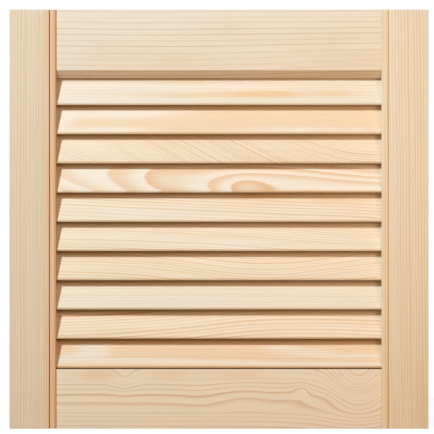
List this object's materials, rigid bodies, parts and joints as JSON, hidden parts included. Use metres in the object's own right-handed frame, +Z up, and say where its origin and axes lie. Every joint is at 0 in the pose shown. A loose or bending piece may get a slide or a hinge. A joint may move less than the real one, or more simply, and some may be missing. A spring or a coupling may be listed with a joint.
{
  "type": "louvred cabinet door",
  "caption": "Small square louvred cabinet door leaf in bare pine: moulded stiles, plain rails and sloping fixed louvres housed in the stiles.",
  "frame": {"origin": "middle of the bottom edge of the leaf: centre of its box in X and Y, on the plane it stands on", "axes": "+Z up the stiles, -Y out of the moulded front face, +X to the right for someone facing the front"},
  "size_m": [0.394, 0.021, 0.394],
  "materials": {
    "pine_stile": "planed and sanded, bare",
    "pine_rail": "planed and sanded, bare",
    "pine_louvre": "planed and sanded, bare",
    "beech_dowel": "turned, bare"
  },
  "bodies": {
    "root": {"left_stile": "pine_stile", "right_stile": "pine_stile", "top_rail": "pine_rail", "bottom_rail": "pine_rail", "louvre_01": "pine_louvre", "louvre_02": "pine_louvre", "louvre_03": "pine_louvre", "louvre_04": "pine_louvre", "louvre_05": "pine_louvre", "louvre_06": "pine_louvre", "louvre_07": "pine_louvre", "louvre_08": "pine_louvre", "louvre_09": "pine_louvre", "louvre_10": "pine_louvre", "dowel_top_left_upper": "beech_dowel", "dowel_top_left_lower": "beech_dowel", "dowel_top_right_upper": "beech_dowel", "dowel_top_right_lower": "beech_dowel", "dowel_bottom_left_upper": "beech_dowel", "dowel_bottom_left_lower": "beech_dowel", "dowel_bottom_right_upper": "beech_dowel", "dowel_bottom_right_lower": "beech_dowel"}
  },
  "joints": []
}
